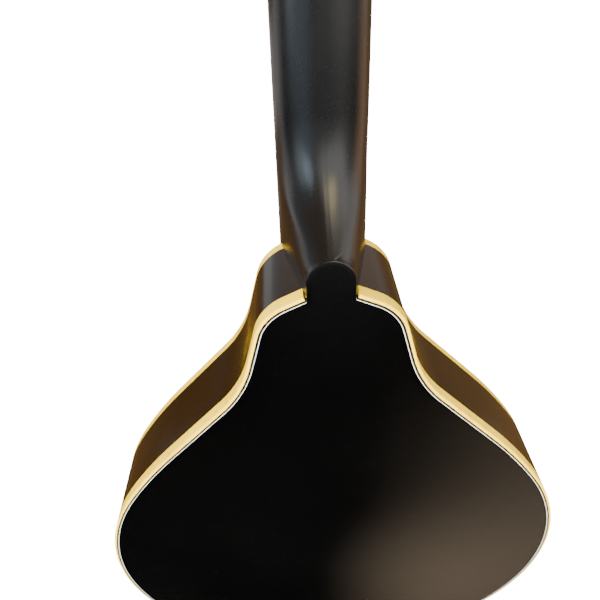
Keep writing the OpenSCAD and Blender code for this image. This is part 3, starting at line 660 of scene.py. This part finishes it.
def softened(curve, step, kernel):
    """The curve's points after a running average along its length."""
    way = np.concatenate([[0], np.cumsum(np.linalg.norm(np.diff(curve, axis=0), axis=1))])
    even = np.arange(0, way[-1] + step, step)
    columns = []
    for axis in curve.T:
        padded = np.pad(np.interp(even, way, axis), len(kernel) // 2, mode="reflect", reflect_type="odd")
        columns.append(np.interp(way, even, np.convolve(padded, kernel, mode="valid")))
    return np.stack(columns, 1)


def eased(rings, reach=4.0, step=0.5):
    """Rounds off the flanks along the heel, but not the outline that fits the button."""
    rings = np.array(rings)
    middle = rings.shape[1] // 2
    kernel = np.exp(-0.5 * (np.arange(-24, 25) * step / reach) ** 2)
    kernel /= kernel.sum()
    height = rings[:, middle, 2]
    window = smooth((height + 6) / 12) * smooth((HEEL_START + 10 - height) / 20)
    for i in range(rings.shape[1]):
        curve = rings[:, i].copy()
        deep = abs(i - middle) / middle
        share = window * smooth((deep - 0.2) / 0.2)
        rings[:, i] = curve + share[:, None] * (softened(curve, step, kernel) - curve)
    return rings


def make_neck():
    base = HALF[0][1]
    heights = np.concatenate([
        np.linspace(base, BUTTON_TOP - BUTTON_HALF, 8),
        BUTTON_TOP - BUTTON_HALF * (1 - np.sin(np.linspace(0, math.pi / 2, 24)[1:])),
        BUTTON_TOP + (HEEL_START - BUTTON_TOP) * np.linspace(0, 1, 50)[1:] ** 1.2,
        np.linspace(HEEL_START, HEAD_END - HEAD_BLEND, 40)[1:],
        np.linspace(HEAD_END - HEAD_BLEND, HEAD_END, 24)[1:]])
    rings = []
    for k, z in enumerate(heights):
        ring = section(z)
        if k == 0:
            ring[:, 2] = start_z(ring[:, 0])
        elif k == len(heights) - 1:
            ring[:, 2] = (HEAD_START - (ring[:, 1] + NECK_RISE) * math.sin(NECK_ANGLE)) / math.cos(NECK_ANGLE)
        rings.append(ring)
    shaft = sharpen(loft("neck_shaft", eased(rings)), 50)
    piece(paint(shaft, "neck"), "instrument", "neck_lacquer", "neck")
    piece(paint(headstock(), "neck"), "instrument", "neck_lacquer", "neck")
    piece(paint(extension(), "neck"), "instrument", "neck_lacquer", "neck")


def on_neck(points):
    return [(x, *to_body(y, z)) for x, y, z in points]


def on_head(points):
    c, s = math.cos(HEAD_ANGLE), math.sin(HEAD_ANGLE)
    return on_neck([(x, y * c + z * s, HEAD_START + z * c - y * s) for x, y, z in points])


HEAD_SIDE = [(1, 0), (20, -62), (16, 60.5), (92, 0), (8, 75)]


def head_outline():
    """The headstock's outline from the right of the nut round the tip to its left."""
    side, headings = walk((NUT_W / 2, 0), 90, HEAD_SIDE)
    turn = math.pi - headings[-1]
    crown, _ = walk(side[-1], math.degrees(headings[-1]), [(side[-1][0] / math.sin(turn), math.degrees(turn))])
    half = np.vstack([side, crown[1:]])
    half[:, 0] = np.maximum(half[:, 0], 0)
    return around(half)


def headstock():
    outline = head_outline()
    lean = math.tan(HEAD_ANGLE)
    rings = []
    for y in (0, HEAD_T):
        rings.append(on_head([(x, y, max(z, y * lean)) for x, z in outline]))
    return bevel(loft("headstock", rings), 1.6, 4, 50)


REST_HALF, REST_T = 13.5, 3.5
REST_SPAN = (-48, 3)


def extension():
    """Tongue of the neck that carries the end of the fingerboard over the top."""
    corners = [(-REST_HALF, 0), (REST_HALF, 0), (REST_HALF, REST_T), (-REST_HALF, REST_T)]
    rings = [on_neck([(x, y, z) for x, y in corners]) for z in REST_SPAN]
    return bevel(loft("fingerboard_rest", rings), 0.6)


# ---- strings ----


HOOK_X, HOOK_PITCH = -14, 4     # the tailpiece's hooks, from the bass side
HOOK_Y, HOOK_Z = -8.5, -300
NUT_SPREAD, SADDLE_SPREAD = 22, 40
PAIR_HALF = 1.05                # half the gap between a course's two strings
NUT_TOP, SADDLE_TOP = 6.6, 9.6  # over the neck's glue plane
COIL_TURNS = 3.5


def string_points(i):
    """A string's hook, saddle, both edges of the nut and post, with its radius, post and side."""
    course = i // 2
    r = STRING_R[course]
    gap = -PAIR_HALF if i % 2 == 0 else PAIR_HALF
    at_nut = -NUT_SPREAD / 2 + course * NUT_SPREAD / 3 + gap
    at_saddle = -SADDLE_SPREAD / 2 + course * SADDLE_SPREAD / 3 + gap
    post = i + 1 if i < 4 else 12 - i
    side = -1 if post <= 4 else 1
    post_z = FIRST_POST + (post - 1) % 4 * POST_PITCH
    end = on_head([(side * (POST_X - POST_WAIST_R - r), POST_WAIST_TO - r, post_z)])[0]
    return np.array([
        (HOOK_X + HOOK_PITCH * i, HOOK_Y, HOOK_Z),
        (at_saddle, *to_body(-(SADDLE_TOP + r), NECK_LEN - SCALE - 2)),
        (at_nut, *to_body(-(NUT_TOP + r), NECK_LEN)),
        (at_nut, *to_body(-(NUT_TOP + r), NECK_LEN + NUT_LEN)),
        end]), r, post, side


def wire(points, r, sides=10):
    """The rings of a round wire through points, mitred where it bends."""
    p = np.asarray(points, float)
    step = np.diff(p, axis=0)
    step /= np.linalg.norm(step, axis=1)[:, None]
    ahead, behind = np.vstack([step, step[-1]]), np.vstack([step[0], step])
    tangent = ahead + behind
    tangent /= np.linalg.norm(tangent, axis=1)[:, None]
    rings = []
    u = np.cross(tangent[0], (0.3, 1, 0.2))
    for q, t in zip(p, tangent):
        u = u - np.dot(u, t) * t
        u /= np.linalg.norm(u)
        v = np.cross(t, u)
        turn = np.linspace(0, 2 * math.pi, sides, endpoint=False)
        rings.append([q + r * (math.cos(a) * u + math.sin(a) * v) for a in turn])
    return rings


def straight(start, end, count, r):
    """A straight wire with count rings, so that it can follow the saddle."""
    return wire([start + (end - start) * t for t in np.linspace(0, 1, count)], r)


def joined_wires(name, wires):
    """Several wires, each with its own rings, as one mesh."""
    verts, faces = [], []
    for rings in wires:
        rings = np.asarray(rings)
        n, m = rings.shape[:2]
        faces += tube_faces(n, m, base=len(verts))
        verts += [tuple(v) for v in row(rings)]
    return sharpen(outward(new_object(name, verts, faces)), 60)


def post_coil(post, side, r):
    """The string's turns round its post, in the headstock's frame."""
    coil = []
    for a in np.linspace(0, COIL_TURNS * 2 * math.pi, int(COIL_TURNS * 28)):
        x = side * POST_X - side * (POST_WAIST_R + r) * math.cos(a)
        y = POST_WAIST_TO - r - 2.1 * r * a / (2 * math.pi)
        z = FIRST_POST + (post - 1) % 4 * POST_PITCH + (POST_WAIST_R + r) * math.sin(a)
        coil.append((x, y, z))
    return coil


def make_strings():
    sets = (("wound", range(4), "winding", "bronze"), ("plain", range(4, 8), "steel", "steel"))
    for kind, numbers, key, slot in sets:
        tails, speaking, ends = [], [], []
        for i in numbers:
            p, r, _, _ = string_points(i)
            tails.append(straight(p[0], p[1], 12, r))
            speaking.append(straight(p[1], p[2], 24, r))
            ends.append(wire(p[2:], r))
        hook, saddle, nut = (tuple(row(q)[0]) for q in string_points(numbers[0])[0][:3])
        for part, wires, still in (("behind", tails, hook), ("main", speaking, nut)):
            obj = paint(joined_wires(f"{kind}_strings_{part}", wires), key)
            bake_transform(obj)
            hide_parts(kind + "_strings")
        last = paint(joined_wires(kind + "_strings_ends", ends), key)
        piece(last, "instrument", slot, kind + "_strings")
    for i in range(8):
        _, r, post, side = string_points(i)
        wrap = joined_wires(f"post_{post}_windings", [wire(on_head(post_coil(post, side, r)), r, 8)])
        piece(paint(wrap, "winding" if i < 4 else "steel"), f"post_{post}", "bronze" if i < 4 else "steel")


# ---- carried-over parts ----

CAD_LOOKS = {  # material, the nodes that wear it, and the width of their rounded edges
    "ebony": (["fingerboard", "bridge_base", "saddle", "end_pin", "truss_cover"], 0.35),
    "back": (["headstock_overlay"], 0.4),
    "bone": (["nut"], 0.3),
    "fret_wire": (["frets"], 0.1),
    "pearl": (["fret_markers"], 0.0),
    "spruce": (["linings", "neck_block", "tail_block", "tone_bars"], 0.4),
    "nickel": (["bass_tuner_plate", "treble_tuner_plate", "post_bushings", "tuner_screws", "cover_screws",
                "bridge_studs", "bass_thumbwheel", "treble_thumbwheel", "tailpiece_base",
                "tailpiece_screws"], 0.18),
    "steel": (["truss_rod"], 0.0),
    "brass": (["truss_nut"], 0.1),
}


def finish_cad():
    for key, (names, width) in CAD_LOOKS.items():
        for name in names:
            dress(name, key, width)
    dress("tailpiece_cover", "nickel", 0.9, 4)
    for i in range(1, 9):
        dress(f"tuner_knob_{i}", "pearl", 1.6, 5)
        dress(f"worm_shaft_{i}", "nickel", 0.0)
        dress(f"string_post_{i}", "nickel", 0.12, 2)


def dress(name, key, width, segments=2):
    obj = nodes[name]
    paint(obj, key)
    weld(obj)
    if width:
        bevel(obj, width, segments)


# ---- stage, light and camera ----


def area_light(name, place, target, size, power, colour, mirrored_only=False):
    """A soft box that lights surfaces without showing in them, or, if mirrored_only, the other way round."""
    data = bpy.data.lights.new(name, "AREA")
    data.shape = "RECTANGLE"
    data.size, data.size_y = size
    data.energy = power
    data.color = colour
    obj = bpy.data.objects.new(name, data)
    obj.location = place
    obj.rotation_euler = (Vector(target) - Vector(place)).to_track_quat("-Z", "Y").to_euler()
    obj.visible_glossy = mirrored_only
    obj.visible_diffuse = not mirrored_only
    obj.visible_camera = False
    bpy.context.scene.collection.objects.link(obj)


def glow(tree, direction, centre, sharp, colour):
    """A soft patch of light in one direction of the room."""
    dot = tree.nodes.new("ShaderNodeVectorMath")
    dot.operation = "DOT_PRODUCT"
    tree.links.new(direction, dot.inputs[0])
    dot.inputs[1].default_value = Vector(centre).normalized()
    spread = tree.nodes.new("ShaderNodeMapRange")
    spread.interpolation_type = "SMOOTHSTEP"
    spread.inputs["From Min"].default_value = sharp[0]
    spread.inputs["From Max"].default_value = sharp[1]
    tree.links.new(dot.outputs["Value"], spread.inputs["Value"])
    patch = tree.nodes.new("ShaderNodeVectorMath")
    patch.operation = "SCALE"
    patch.inputs[0].default_value = colour
    tree.links.new(spread.outputs["Result"], patch.inputs["Scale"])
    return patch.outputs["Vector"]


# What the lacquer and the metal mirror. Each row has a direction, the cosines from it at which the patch
# starts and is full, and a colour. A negative colour takes light away from the patches that it overlaps.
ROOM_GLOWS = [
    ((0, 0.35, 1), (-0.44, -0.05), (0.48, 0.48, 0.49)),
    ((0, 1, 0), (0.0, 0.6), (0.04, 0.04, 0.04)),
    ((-0.5, 0.25, -0.83), (0.86, 1.0), (0.75, 0.57, 0.39)),
    ((0.71, 0.67, 0.22), (0.935, 0.99), (2.6, 3.3, 4.0)),
    ((0.9, 0.43, -0.02), (0.93, 0.99), (1.7, 2.1, 2.4)),
    ((0.6, 0.78, -0.2), (0.88, 0.99), (0.5, 0.7, 0.95)),
    ((-0.5, 0.72, 0.48), (0.57, 0.88), (2.3, 2.3, 2.2)),
    ((-0.36, 0.58, 0.73), (0.93, 0.99), (5.5, 4.2, 1.8)),
    ((-0.93, -0.15, 0.3), (0.86, 0.99), (1.5, 1.4, 1.35)),
    ((0, 0, 1), (0.1, 0.75), (0.02, -0.13, -0.25)),
    ((0.57, -0.81, 0.12), (0.93, 0.98), (-0.15, 0, 0.1)),
    ((0.91, -0.34, -0.25), (0.955, 0.99), (0.85, 0.85, 0.88)),
    ((-0.93, -0.25, -0.35), (0.92, 0.99), (1.3, 0.8, 0.48)),
    ((0, -1, -0.35), (0.2, 0.75), (0.24, 0.12, 0.035)),
    ((-1, -0.8, -0.1), (0.75, 1.0), (0.12, 0.09, 0.05)),
    ((-0.05, -1, 0), (0.93, 0.97), (3.0, 3.0, 3.1)),
    ((0, -1, -0.2), (0.9, 0.98), (1.2, 1.2, 1.2)),
]
BACKDROP = 18.0         # brightness of the floor and the background for the camera alone
FLOOR_GAP = 80 * MM     # the mandolin hangs by its neck, and its tailpiece cover slides off downwards
FLOOR_REACH = 9.0


def plain_background(tree, strength):
    made = tree.nodes.new("ShaderNodeBackground")
    made.inputs["Color"].default_value = (1, 1, 1, 1)
    made.inputs["Strength"].default_value = strength
    return made.outputs["Background"]


def make_world():
    world = bpy.data.worlds.new("studio")
    bpy.context.scene.world = world
    world.use_nodes = True
    tree = world.node_tree
    tree.nodes.clear()
    out = tree.nodes.new("ShaderNodeOutputWorld")
    direction = tree.nodes.new("ShaderNodeTexCoord").outputs["Generated"]
    total = None
    for centre, sharp, colour in ROOM_GLOWS:
        patch = glow(tree, direction, centre, sharp, colour)
        if total is not None:
            add = tree.nodes.new("ShaderNodeVectorMath")
            tree.links.new(total, add.inputs[0])
            tree.links.new(patch, add.inputs[1])
            patch = add.outputs["Vector"]
        total = patch
    room = tree.nodes.new("ShaderNodeBackground")
    tree.links.new(total, room.inputs["Color"])
    path = tree.nodes.new("ShaderNodeLightPath")
    shader = plain_background(tree, 1.0)
    seen = plain_background(tree, BACKDROP)
    for ray, other in (("Is Glossy Ray", room.outputs["Background"]), ("Is Camera Ray", seen)):
        mix = tree.nodes.new("ShaderNodeMixShader")
        tree.links.new(path.outputs[ray], mix.inputs["Fac"])
        tree.links.new(shader, mix.inputs[1])
        tree.links.new(other, mix.inputs[2])
        shader = mix.outputs["Shader"]
    tree.links.new(shader, out.inputs["Surface"])


def make_floor():
    level = cad_low.z - FLOOR_GAP
    corners = ((-1, -1), (1, -1), (1, 1), (-1, 1))
    verts = [(x * FLOOR_REACH, y * FLOOR_REACH, level) for x, y in corners]
    floor = new_object("floor", verts, [(0, 1, 2, 3)], smooth=False)
    p = Paint("pale_floor", (0.86, 0.86, 0.86), 0.8)
    p.roughness(p.noise(3, 3), 0.7, 0.9)
    shine = p.node("ShaderNodeEmission")
    shine.inputs["Strength"].default_value = BACKDROP
    path = p.node("ShaderNodeLightPath")
    add = p.node("ShaderNodeAddShader")
    mix = p.node("ShaderNodeMixShader")
    out = p.tree.nodes["Material Output"]
    p.tree.links.new(p.shader.outputs["BSDF"], add.inputs[0])
    p.tree.links.new(shine.outputs["Emission"], add.inputs[1])
    p.tree.links.new(path.outputs["Is Camera Ray"], mix.inputs["Fac"])
    p.tree.links.new(p.shader.outputs["BSDF"], mix.inputs[1])
    p.tree.links.new(add.outputs["Shader"], mix.inputs[2])
    p.tree.links.new(mix.outputs["Shader"], out.inputs["Surface"])
    floor.data.materials.append(p.material)
    floor.visible_glossy = False


# The photograph's camera, in the body's frame and in millimetres.
CAMERA_PLACE = (12.10, 194.91, 123.07)
CAMERA_RIGHT = (-0.9984, 0.0375, -0.0424)
CAMERA_UP = (-0.0565, -0.6232, 0.7800)
CAMERA_LENS = 31.685


MIDDLE = (0, 0, -0.3)                   # what the lights are turned to, in metres
HEEL_FLANK = (0.014, 0.0065, -0.199)


def make_camera():
    data = bpy.data.cameras.new("camera")
    data.lens = CAMERA_LENS
    data.sensor_width = 36
    data.clip_start = 0.005
    data.clip_end = 60
    cam = bpy.data.objects.new("camera", data)
    right, up = Vector(CAMERA_RIGHT).normalized(), Vector(CAMERA_UP)
    back = right.cross(up).normalized()
    up = back.cross(right)
    turn = Matrix((right, up, back)).transposed().to_4x4()
    cam.matrix_world = Matrix.Translation(Vector(row(CAMERA_PLACE)[0])) @ turn
    bpy.context.scene.collection.objects.link(cam)
    bpy.context.scene.camera = cam


make_camera()
make_world()
make_floor()
area_light("key", (0.4, 1.4, 0.3), MIDDLE, (1.2, 1.0), 150, (1, 0.97, 0.9))
area_light("fill", (-1.1, 0.8, 0.2), MIDDLE, (1.0, 1.0), 30, (1, 0.95, 0.88))
area_light("front", (0.3, -1.4, 0.6), MIDDLE, (1.2, 1.0), 60, (1, 1, 1))
area_light("edge", (0.244, -0.2435, -0.229), HEEL_FLANK, (0.23, 0.1), 0.045, (1, 1, 1.05), mirrored_only=True)
make_body()
make_neck()
make_strings()
finish_cad()
